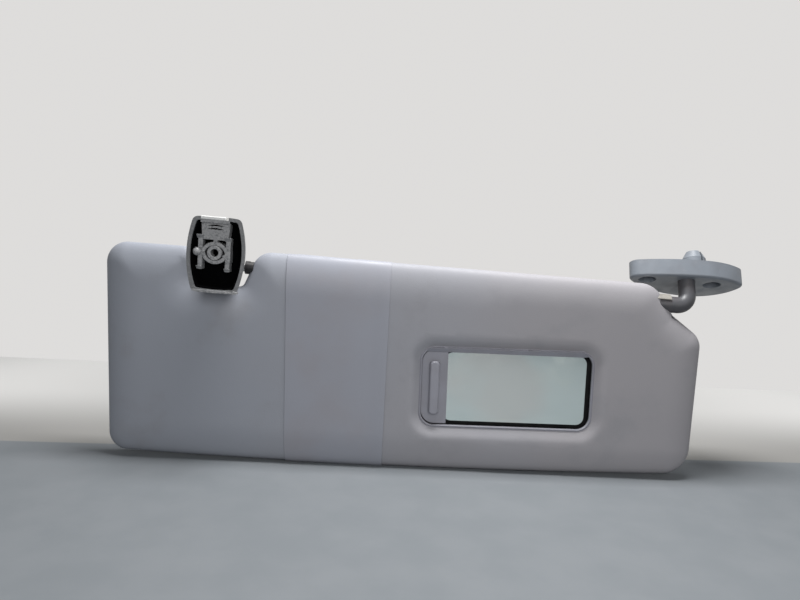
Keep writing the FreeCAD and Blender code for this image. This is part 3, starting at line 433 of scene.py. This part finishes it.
def board_loop():
    """The board's outline, with the slight bow of its lower edge."""
    loop = rounded_loop(CORNERS)
    first = np.array(CORNERS[0][0])
    side = np.array(CORNERS[1][0]) - first
    length = np.linalg.norm(side)
    along = (loop - first) @ side / length**2
    above = (loop - first) @ np.array([-side[1], side[0]]) / length
    bow = LOW_BULGE * (1 - (2 * along - 1) ** 2) * smooth(1 - above / 16)
    loop[:, 1] -= np.maximum(bow, 0)
    return loop


def opening_loop(grow):
    """The mirror opening's outline on the board, grown by a margin."""
    across, up = OPENING_HALF[0] + grow, OPENING_HALF[1] + grow
    radius = OPENING_ROUND + grow
    corners = [
        ((-across, -up), radius),
        ((across, -up), radius),
        ((across, up), radius),
        ((-across, up), radius),
    ]
    loop = rounded_loop(corners, 1.2)
    cosine, sine = math.cos(WINDOW_TURN), math.sin(WINDOW_TURN)
    along = loop[:, 0] * cosine - loop[:, 1] * sine
    up = loop[:, 0] * sine + loop[:, 1] * cosine
    return np.stack([along, up], 1) + np.array(OPENING)


OUTLINE = board_loop()
OPENING_EDGE = opening_loop(0.9)
RECESS = 4.8
RECESS_WIDTH = 8.6
RIM_POWER = 2.2


def crown(points, wave=0.22):
    """Half thickness of the board at each point, rounded to the rim."""
    width = 30.0 - 6.0 * smooth((points[:, 0] + 160) / 35)
    depth = np.clip(distance_to(OUTLINE, points) / width, 0, 1)
    half = HALF * (1 - (1 - depth) ** RIM_POWER) ** (1 / RIM_POWER)
    ripple = np.array([noise.noise(Vector((x * 0.016, z * 0.02, 3.0))) for x, z in points])
    return half * 0.975 + wave * ripple * smooth(depth * 1.4)


def front_face(points):
    """Depth of the board's driver's side, dipping into the mirror recess."""
    face = -crown(points)
    from_opening = distance_to(OPENING_EDGE, points)
    across = np.clip(from_opening / RECESS_WIDTH, 0, 1)
    dip = 0.5 * (1 - np.sin(across * math.pi / 2)) + 0.5 * (1 - smooth(across))
    dip = np.where(inside(OPENING_EDGE, points), 1.0, dip)
    return face + dip * (-HALF + RECESS - face)


def rear_face(points):
    return crown(points, 0.15)


RINGS = (0.0, 0.12, 0.45, 1.0, 1.8, 2.9, 4.3, 6.0, 8.0)
OPENING_RINGS = (0.0, 0.5, 1.1, 1.9, 2.8, 3.9, 5.2, 6.8, 9.0)


def flat_net(loop, holes, spacing=3.2):
    """Triangles that fill a loop round its holes, with fine rings along each edge."""
    normals = inward(loop)
    rings = [loop + normals * depth for depth in RINGS]
    keep_off = [(loop, RINGS[-1])]
    for hole in holes:
        away = -inward(hole)
        rings += [hole + away * depth for depth in OPENING_RINGS]
        keep_off.append((hole, OPENING_RINGS[-1]))
    low, high = loop.min(0), loop.max(0)
    grid = []
    for row, z in enumerate(np.arange(low[1], high[1], spacing * 0.87)):
        start = low[0] + (row % 2) * spacing / 2
        grid += [(x, z) for x in np.arange(start, high[0], spacing)]
    grid = np.array(grid)
    grid = grid[inside(loop, grid)]
    for edge, margin in keep_off:
        grid = grid[distance_to(edge, grid) > margin + spacing * 0.5]
    for hole in holes:
        grid = grid[~inside(hole, grid)]
    points = np.concatenate([*rings, grid])
    edges = []
    first = 0
    for ring_index, ring in enumerate(rings):
        if ring_index == 0 or (holes and ring_index == len(RINGS)):
            count = len(ring)
            edges += [(first + k, first + (k + 1) % count) for k in range(count)]
        first += len(ring)
    result = geometry.delaunay_2d_cdt([Vector(p) for p in points], edges, [], 1, 1e-4)
    flat = np.array([tuple(p) for p in result[0]])
    faces = [list(face) for face in result[2]]
    middles = np.array([flat[face].mean(0) for face in faces])
    keep = inside(loop, middles)
    for hole in holes:
        keep &= ~inside(hole, middles)
    return flat, [face for face, kept in zip(faces, keep) if kept]


def make_board():
    """The vinyl covering: two crowned sides that meet along the rim."""
    front, front_faces = flat_net(OUTLINE, [OPENING_EDGE])
    rear, rear_faces = flat_net(OUTLINE, [], 4.5)
    front_depth = front_face(front)
    rear_depth = rear_face(rear)
    front_depth[distance_to(OUTLINE, front) < 0.01] = 0
    rear_depth[distance_to(OUTLINE, rear) < 0.01] = 0
    vertices = [on_board(x, y, z) for (x, z), y in zip(front, front_depth)]
    vertices += [on_board(x, y, z) for (x, z), y in zip(rear, rear_depth)]
    shift = len(front)
    faces = [face[::-1] for face in front_faces]
    faces += [[k + shift for k in face] for face in rear_faces]
    board = add_object("board_vinyl", vertices, faces, 70.0)
    dress(board, "vinyl")
    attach(board, "board")
    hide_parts("vinyl_cover")


def tucked(node, slot, material=None, room=0.45):
    """A rigid piece of the board, held just under the covering's crowned faces."""
    obj = merged_copy(node, node + "_tucked")
    mesh = obj.data
    work = bmesh.new()
    work.from_mesh(mesh)
    bmesh.ops.triangulate(work, faces=work.faces)
    for _ in range(3):
        long_edges = [edge for edge in work.edges if edge.calc_length() > 12 * MM]
        if long_edges:
            bmesh.ops.subdivide_edges(work, edges=long_edges, cuts=1)
            bmesh.ops.triangulate(work, faces=work.faces)
    work.to_mesh(mesh)
    work.free()
    places = np.empty(len(mesh.vertices) * 3)
    mesh.vertices.foreach_get("co", places)
    places = places.reshape(-1, 3) / MM + np.array([0, BACK, DOWN])
    flat = places[:, (0, 2)]
    normals = inward(OUTLINE)
    for _ in range(3):
        for k, point in enumerate(flat):
            apart = point - OUTLINE
            nearest = (apart**2).sum(1).argmin()
            depth = apart[nearest] @ normals[nearest]
            if np.linalg.norm(apart[nearest]) < 25 and depth < 2.2:
                flat[k] = point + normals[nearest] * (2.2 - depth)
    front = front_face(flat) + room
    rear = rear_face(flat) - room
    depth = np.clip(places[:, 1], front, rear)
    moved = np.stack([flat[:, 0], depth - BACK, flat[:, 1] - DOWN], 1) * MM
    mesh.vertices.foreach_set("co", moved.ravel())
    dress(obj, slot, material)
    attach(obj, "board")
    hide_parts(node)
    return obj


def sweep(name, rail, profile, smooth_angle=35.0):
    """Sweeps a closed profile of (out, y) points round a closed rail on the board."""
    away = -inward(rail)
    vertices, faces = [], []
    count, size = len(rail), len(profile)
    for point, normal in zip(rail, away):
        for out, y in profile:
            x, z = point + normal * out
            vertices.append(on_board(x, y, z))
    for i in range(count):
        for j in range(size):
            a, b = i * size + j, i * size + (j + 1) % size
            c, d = ((i + 1) % count) * size + (j + 1) % size, ((i + 1) % count) * size + j
            faces.append((a, b, c, d))
    return add_object(name, vertices, faces, smooth_angle)


def make_lip():
    """The thin lip of the mirror frame that shows inside the recess."""
    profile = [
        (2.0, -5.1),
        (0.3, -5.75),
        (-0.05, -6.15),
        (-0.5, -6.25),
        (-0.95, -6.0),
        (-1.15, -5.4),
        (-1.2, -4.4),
        (2.0, -4.4),
    ]
    lip = sweep("mirror_lip", OPENING_EDGE, profile)
    dress(lip, "grey_plastic", "cover_plastic")
    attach(lip, "board")


# Ticket band
BAND_LIFT = (0.12, 0.55)
BAND_THICK = 0.55


def make_band():
    """The smooth sheet over the driver's side: welded at the left, free along its right edge."""
    across_count, up_count = 49, 121
    outer, inner = [], []
    for i in range(across_count):
        u = i / (across_count - 1)
        foot = BAND_LEFT[0] + (BAND_RIGHT[0] - BAND_LEFT[0]) * u
        head = BAND_LEFT[1] + (BAND_RIGHT[1] - BAND_LEFT[1]) * u
        line = np.array([(foot, BAND_FOOT - 8), (head, BAND_HEAD + 8)])
        shares = np.linspace(0, 1, 800)
        points = line[0] + (line[1] - line[0]) * shares[:, None]
        within = np.flatnonzero(inside(OUTLINE, points))
        low, high = shares[within[0]], shares[within[-1]]
        v = np.linspace(0, 1, up_count)
        eased = 0.5 - 0.5 * np.cos(v * math.pi)
        shares = low + (high - low) * (0.15 * v + 0.85 * eased)
        points = line[0] + (line[1] - line[0]) * shares[:, None]
        depth = -crown(points)
        slope_x = (-crown(points + (0.5, 0)) - depth) / 0.5
        slope_z = np.gradient(depth, points[:, 1])
        normal = np.stack([slope_x, -np.ones(up_count), slope_z], 1)
        normal /= np.linalg.norm(normal, axis=1, keepdims=True)
        held = np.sin(v * math.pi) ** 0.5
        lift = BAND_LIFT[0] + BAND_LIFT[1] * smooth((u - 0.82) / 0.18) * held
        base = np.stack([points[:, 0], depth, points[:, 1]], 1)
        inner.append(base + normal * lift[:, None])
        outer.append(base + normal * (lift + BAND_THICK)[:, None])
    vertices = [on_board(*p) for side in (outer, inner) for line in side for p in line]
    shift = across_count * up_count
    faces = []
    for i in range(across_count - 1):
        for j in range(up_count - 1):
            a = i * up_count + j
            quad = (a, a + up_count, a + up_count + 1, a + 1)
            faces.append(quad)
            faces.append(tuple(k + shift for k in quad[::-1]))
    rim = [i * up_count for i in range(across_count)]
    rim += [(across_count - 1) * up_count + j for j in range(1, up_count)]
    rim += [i * up_count + up_count - 1 for i in range(across_count - 2, -1, -1)]
    rim += [j for j in range(up_count - 2, 0, -1)]
    for a, b in zip(rim, rim[1:] + rim[:1]):
        faces.append((a, b, b + shift, a + shift))
    band = add_object("band_sheet", vertices, faces, 50.0)
    ease(band, 0.16, 2)
    dress(band, "band")
    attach(band, "board")
    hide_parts("ticket_band")


# Mirror
def rounded_plate(name, middle, half, radius, front, back, place, steps=8):
    """A plate with rounded corners between two depths."""
    loop = []
    for corner, (side, rise) in enumerate(((1, -1), (1, 1), (-1, 1), (-1, -1))):
        for k in range(steps + 1):
            angle = math.pi / 2 * (corner - 1 + k / steps)
            x = middle[0] + side * (half[0] - radius) + radius * math.cos(angle)
            z = middle[1] + rise * (half[1] - radius) + radius * math.sin(angle)
            loop.append((x, z))
    count = len(loop)
    vertices = [place(x, front, z) for x, z in loop] + [place(x, back, z) for x, z in loop]
    faces = [tuple(range(count)), tuple(range(2 * count - 1, count - 1, -1))]
    faces += [(k, (k + 1) % count, count + (k + 1) % count, count + k) for k in range(count)]
    return add_object(name, vertices, faces)


def make_glass():
    glass = rounded_plate(
        "glass", GLASS_MIDDLE, GLASS_HALF, 6.5, GLASS_FRONT, GLASS_FRONT + 2.2, on_window
    )
    ease(glass, 0.5, 2)
    dress(glass, "mirror_glass")
    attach(glass, "board")
    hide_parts("mirror_glass")


def make_strip():
    """The flat lip of the frame above the glass."""
    cosine, sine = math.cos(WINDOW_TURN), math.sin(WINDOW_TURN)
    away = OPENING_EDGE - np.array(WINDOW)
    across = away[:, 0] * cosine + away[:, 1] * sine
    up = away[:, 1] * cosine - away[:, 0] * sine
    top = [(x, z) for x, z in zip(across, up) if z > STRIP_FOOT]
    top.sort()
    top.append((top[-1][0] - 5.0, STRIP_FOOT))
    strip = Pieces(on_window)
    strip.prism(top, -4.9, -4.4, 0.8)
    piece = strip.finish("glass_strip")
    ease(piece, 0.4, 2)
    dress(piece, "grey_plastic", "cover_plastic")
    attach(piece, "board")


def make_grip():
    """The rounded bar on the sliding cover."""
    low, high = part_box("mirror_cover")
    face = (low[1] / MM) + BACK
    bar = rounded_plate("cover_grip", GRIP, (3.4, 20.6), 2.6, face - 1.7, face + 0.5, on_window)
    ease(bar, 1.1, 4)
    dress(bar, "grey_plastic", "cover_plastic")
    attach(bar, "cover")


# Counter-clip's claw
class Pieces:
    """Closed solids gathered into one mesh, in places on the board."""

    def __init__(self, place=on_board):
        self.mesh = bmesh.new()
        self.place = place

    def prism(self, loop, front, back, lean=0.0):
        """A flat shape of (x, z) points between two depths, its front leaning out upwards."""
        foot = min(z for x, z in loop)
        near = [self.mesh.verts.new(self.place(x, front - lean * (z - foot), z)) for x, z in loop]
        face = self.mesh.faces.new(near)
        made = bmesh.ops.extrude_face_region(self.mesh, geom=[face], use_keep_orig=True)["geom"]
        for vertex in made:
            if isinstance(vertex, bmesh.types.BMVert):
                vertex.co.y = (back - BACK) * MM

    def block(self, low, high, front, back):
        loop = [(low[0], low[1]), (high[0], low[1]), (high[0], high[1]), (low[0], high[1])]
        self.prism(loop, front, back)

    def wedge(self, low, high, front, back):
        """A hook: full depth at its top, nothing at its foot."""
        near = [(low[0], front, high[1]), (high[0], front, high[1])]
        far = [(x, back, z) for x, z in ((low[0], low[1]), (high[0], low[1]))]
        far += [(x, back, z) for x, z in ((high[0], high[1]), (low[0], high[1]))]
        a, b = [self.mesh.verts.new(on_board(*p)) for p in near]
        c, d, e, f = [self.mesh.verts.new(on_board(*p)) for p in far]
        for face in ((a, b, d, c), (a, f, e, b), (a, c, f), (b, e, d), (c, d, e, f)):
            self.mesh.faces.new(face)

    def ring(self, middle, outer, inner, front, back, steps=32):
        """A tube with its bore along the depth."""
        loops = []
        for radius, depth in ((outer, front), (outer, back), (inner, back), (inner, front)):
            loop = []
            for k in range(steps):
                angle = 2 * math.pi * k / steps
                x = middle[0] + radius * math.cos(angle)
                z = middle[1] + radius * math.sin(angle)
                loop.append(self.mesh.verts.new(on_board(x, depth, z)))
            loops.append(loop)
        for i in range(4):
            here, there = loops[i], loops[(i + 1) % 4]
            for k in range(steps):
                after = (k + 1) % steps
                self.mesh.faces.new((here[k], here[after], there[after], there[k]))

    def sleeve(self, left, right, outer, inner, start=0.0, stop=360.0, steps=40):
        """A tube round the fold axis, or the part of one between two angles."""
        full = stop - start >= 360
        rows = []
        for k in range(steps if full else steps + 1):
            angle = math.radians(start + (stop - start) * k / steps)
            row = []
            for x, radius in ((left, outer), (right, outer), (right, inner), (left, inner)):
                y, z = radius * math.cos(angle), radius * math.sin(angle)
                row.append(self.mesh.verts.new(on_board(x, y, z)))
            rows.append(row)
        pairs = list(zip(rows, rows[1:]))
        if full:
            pairs.append((rows[-1], rows[0]))
        else:
            self.mesh.faces.new(rows[0])
            self.mesh.faces.new(rows[-1][::-1])
        for here, there in pairs:
            for i in range(4):
                after = (i + 1) % 4
                self.mesh.faces.new((here[i], here[after], there[after], there[i]))

    def ball(self, middle, radius):
        matrix = Matrix.Translation(on_board(*middle))
        bmesh.ops.create_uvsphere(
            self.mesh, u_segments=20, v_segments=12, radius=radius * MM, matrix=matrix
        )

    def arch(self, middle, half, rise, width, front, back, steps=18):
        """An arc strip over a middle: half its span, its rise (down if negative) and width."""
        bend = (half**2 + rise**2) / (2 * abs(rise))
        sign = 1 if rise > 0 else -1
        reach = math.asin(half / bend)
        outer, inner = [], []
        for k in range(steps + 1):
            angle = -reach + 2 * reach * k / steps
            for loop, radius in ((outer, bend), (inner, bend - width)):
                x = middle[0] + radius * math.sin(angle)
                z = middle[1] + sign * (radius * math.cos(angle) - (bend - abs(rise)))
                loop.append((x, z))
        self.prism(outer + inner[::-1], front, back)

    def finish(self, name):
        bmesh.ops.recalc_face_normals(self.mesh, faces=self.mesh.faces)
        mesh = bpy.data.meshes.new(name)
        self.mesh.to_mesh(mesh)
        self.mesh.free()
        return add_mesh(name, mesh)


def make_claw():
    """The claw: a tongue, an eye round the screw ring, and two legs with hooks."""
    x0, z0 = CLAW
    front, back = -27.6, -20.2
    claw = Pieces()
    claw.prism(
        [(x0 - 9.6, 20.0), (x0 + 9.4, 20.0), (x0 + 10.6, 36.0), (x0 - 11.0, 36.0)], front, back
    )
    for z in (33.6, 31.4, 29.0):
        claw.arch((x0, z - 1.2), 6.2, 1.1, 0.7, front - 0.35, front + 0.5)
    claw.arch((x0, z0 - 0.3), 10.2, 8.2, 2.6, front - 0.5, back)
    claw.arch((x0, z0 + 0.2), 10.0, -8.3, 2.6, front - 0.5, back)
    claw.ring((x0, z0), 5.3, 2.8, front - 1.0, -20.9)
    claw.block((x0 - 1.5, 18.0), (x0 + 1.5, 21.5), front + 0.4, back)
    for side, lean in ((-1, 0.4), (1, -0.2)):
        leg = x0 + side * (10.1 - side * 0.6)
        top, foot = 23.0 - (side + 1) * 0.6, -1.6 - (side + 1) * 0.4
        claw.prism(
            [
                (leg - 1.7 + lean, foot),
                (leg + 1.7 + lean, foot),
                (leg + 1.7, top),
                (leg - 1.7, top),
            ],
            front,
            back,
        )
        claw.wedge((leg - 2.6, top - 2.6), (leg + 2.4, top + 0.5), front - 2.4, front + 0.5)
        claw.wedge((leg - 2.2, foot), (leg + 2.0, foot + 2.6), front - 1.8, front + 0.5)
        claw.block((leg - 1.2, z0 - 3.4), (leg + 1.2, z0 + 3.4), front - 0.4, back)
    claw.ball((x0 - 12.4, front - 0.8, z0 + 0.2), 3.0)
    right = x0 + 9.5
    link = [(right - 4.2, z0 - 2.0), (right + 1.9, z0 - 6.6), (right + 1.9, z0 + 2.4)]
    claw.prism(link, front - 0.9, back)
    top = [(x0 - 10.7, 32.0), (x0 + 10.2, 32.0), (x0 + 10.6, 36.4), (x0 - 11.0, 36.4)]
    claw.prism(top, front - 2.1, back)
    piece = claw.finish("claw")
    ease(piece, 0.35, 2)
    dress(piece, "black_plastic", "claw_plastic")
    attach(piece, "clip")
    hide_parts("clip_claw")


def make_clip_edges():
    """A strip on the dish's top edge, pale to paint the highlight there, and the frayed skin
    along its lower edge.
    """
    strip = Pieces()
    strip.prism([(-364.2, 34.3), (-346.0, 34.3), (-346.0, 36.7), (-364.2, 36.7)], -30.6, -23.0)
    piece = strip.finish("clip_top_highlight_strip")
    ease(piece, 0.5, 2)
    # Painted highlight: the strip's pale colour stands in for the light caught by the clip's top
    # edge.
    dress(piece, "grey_plastic", "painted_highlight_plastic")
    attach(piece, "clip")
    low, high = [], []
    for k in range(34):
        x = -368.0 + k
        end = smooth(min(k, 33 - k) / 4)
        wave = noise.noise(Vector((x * 0.28, 0.0, 5.0)))
        low.append((x, -17.3 - 0.9 * end * (0.6 + wave)))
        high.append((x, -15.9 + 1.0 * end * wave))
    edge = Pieces()
    edge.prism(low + high[::-1], -31.0, -27.5)
    piece = edge.finish("clip_frayed_edge")
    ease(piece, 0.25, 2)
    dress(piece, "grey_plastic", "claw_plastic")
    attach(piece, "clip")


def make_bushes():
    """The collar between the clip and the notch, and the pale bush where the arm enters."""
    collar = Pieces()
    collar.sleeve(-337.2, -330.5, 4.6, 3.3)
    piece = collar.finish("notch_collar")
    ease(piece, 0.5, 2)
    dress(piece, "black_plastic")
    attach(piece, "board")
    bush = Pieces()
    bush.sleeve(-27.0, -14.5, 7.6, 6.45, 35.0, 145.0)
    piece = bush.finish("bush_lip")
    ease(piece, 0.6, 2)
    dress(piece, "black_plastic", "nylon")
    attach(piece, "board")


make_board()
for node in ("front_core", "rear_core"):
    tucked(node, "core")
tucked("mirror_frame", "grey_plastic", "cover_plastic", 0.7)
make_lip()
make_band()
make_glass()
make_strip()
make_grip()
make_claw()
make_clip_edges()
make_bushes()

EASED = {
    "base_plate": ("base", 0.9, "grey_plastic"),
    "clip_housing": ("clip", 0.5, "clip_plastic"),
    "mirror_cover": ("cover", 0.25, "cover_plastic"),
}
for node, (body, width, look) in EASED.items():
    piece = merged_copy(node, node + "_eased")
    ease(piece, width, 3)
    dress(piece, "grey_plastic", look)
    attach(piece, body)
    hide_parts(node)

SLOTS = {part["node"]: part["material_slot"] for part in frame["record"]["subparts"]}
REMADE = {"vinyl_cover", "ticket_band", "front_core", "rear_core", "mirror_frame", "mirror_glass"}
REMADE |= {"clip_claw", *EASED}
for node, obj in nodes.items():
    if node in REMADE:
        continue
    obj.data.polygons.foreach_set("use_smooth", [True] * len(obj.data.polygons))
    obj.data.set_sharp_from_angle(angle=math.radians(35))
    dress(obj, SLOTS[node], "sleeve_plastic" if node == "arm_sleeve" else None)


# Stage, camera and lights
FLOOR_FRONT, FLOOR_BACK = -0.7, 0.32
FLOOR_ENDS = (-0.65, 1.1)


def add_lamp(name, size, energy, location, target):
    lamp = bpy.data.lights.new(name, "AREA")
    lamp.shape = "RECTANGLE"
    lamp.size, lamp.size_y = size
    lamp.energy = energy
    obj = bpy.data.objects.new(name, lamp)
    place, aim = on_board(*location), on_board(*target)
    turn = (place - aim).to_track_quat("Z", "Y").to_matrix().to_4x4()
    obj.matrix_world = Matrix.Translation(place) @ turn
    bpy.context.scene.collection.objects.link(obj)


def make_world():
    """A soft even light, with a paler colour for what the camera, metal and glass see."""
    world = bpy.data.worlds.new("studio")
    bpy.context.scene.world = world
    sky = Shader(world)
    lit = sky.node("ShaderNodeBackground", None, [(0.92, 0.96, 1.0, 1), 0.16])
    seen = sky.node("ShaderNodeBackground", None, [(0.73, 0.72, 0.71, 1), 1.0])
    shown, glossy, through = [
        sky.node("ShaderNodeLightPath", output=name)
        for name in ("Is Camera Ray", "Is Glossy Ray", "Is Transmission Ray")
    ]
    shown = shown.math("MAXIMUM", glossy).math("MAXIMUM", through)
    mixed = sky.node("ShaderNodeMixShader", None, [shown, lit, seen])
    sky.join(mixed, sky.tree.nodes["World Output"].inputs["Surface"])


def make_floor():
    """A pale floor that touches the board's lower edge, lighter behind the board."""
    left, right = on_board(-425, 0, -150.6), on_board(0, 0, -131.6)
    along = (right - left).normalized()
    up = Vector((-along.z, 0, along.x))
    level = min((on_board(x, 0, z) - left).dot(up) for x, z in OUTLINE)
    base = left + up * level
    corners = []
    left_end, right_end = FLOOR_ENDS
    for across, deep in (
        (left_end, FLOOR_FRONT),
        (right_end, FLOOR_FRONT),
        (right_end, FLOOR_BACK),
        (left_end, FLOOR_BACK),
    ):
        corners.append(base + along * across + Vector((0, deep, 0)))
    floor = add_object("floor", corners, [(0, 1, 2, 3)])
    look = Material("floor", (0.165, 0.177, 0.188), roughness=0.75, specular_ior_level=0.2)
    depth = look.along("Y") + look.along("X") * -0.048
    behind = depth.ramp(0.0255, 0.0275)
    back = depth.ramp(0.03, 0.2)
    # Painted shade: the back zone stays darker round the spot under the key lamp and pales
    # farther out, evening out the lamp's pool of light.
    across = look.along("X") + 0.18
    deep = look.along("Y")
    away_from_key = (across * across + deep * deep).ramp(0.01, 0.32)
    look.tint(
        (look.cloud(30.0, 4.0).ramp(0.3, 0.7), (0.152, 0.165, 0.176)),
        (behind, (0.24, 0.235, 0.225)),
        (back, (0.42, 0.415, 0.405)),
        (back * away_from_key, (0.8, 0.79, 0.77)),
    )
    floor.data.materials.append(look.data)


def make_camera():
    camera = bpy.data.cameras.new("camera")
    camera.lens = 30.1
    camera.sensor_width = 36.0
    camera.clip_start = 0.01
    obj = bpy.data.objects.new("camera", camera)
    bpy.context.scene.collection.objects.link(obj)
    bpy.context.scene.camera = obj
    pitch, roll = math.radians(6.5), math.radians(5.0)
    aim = on_board(-218.2, -HALF, -13.4)
    ahead = Vector((0, math.cos(pitch), -math.sin(pitch)))
    above = Vector((0, math.sin(pitch), math.cos(pitch)))
    level = Vector((1, 0, 0))
    right = level * math.cos(roll) + above * math.sin(roll)
    up = above * math.cos(roll) - level * math.sin(roll)
    turn = Matrix((right, up, -ahead)).transposed().to_4x4()
    obj.matrix_world = Matrix.Translation(aim - ahead * 0.5) @ turn


make_world()
make_floor()
make_camera()
add_lamp("key", (0.34, 0.2), 9.4, (-180, -30, 620), (-180, -10, -60))
add_lamp("fill", (0.6, 0.45), 2.2, (-150, -920, 240), (-150, 0, -70))
add_lamp("low_fill", (0.36, 0.26), 0.62, (-120, -440, 110), (-150, 0, -70))
bpy.context.scene.view_settings.view_transform = "Standard"
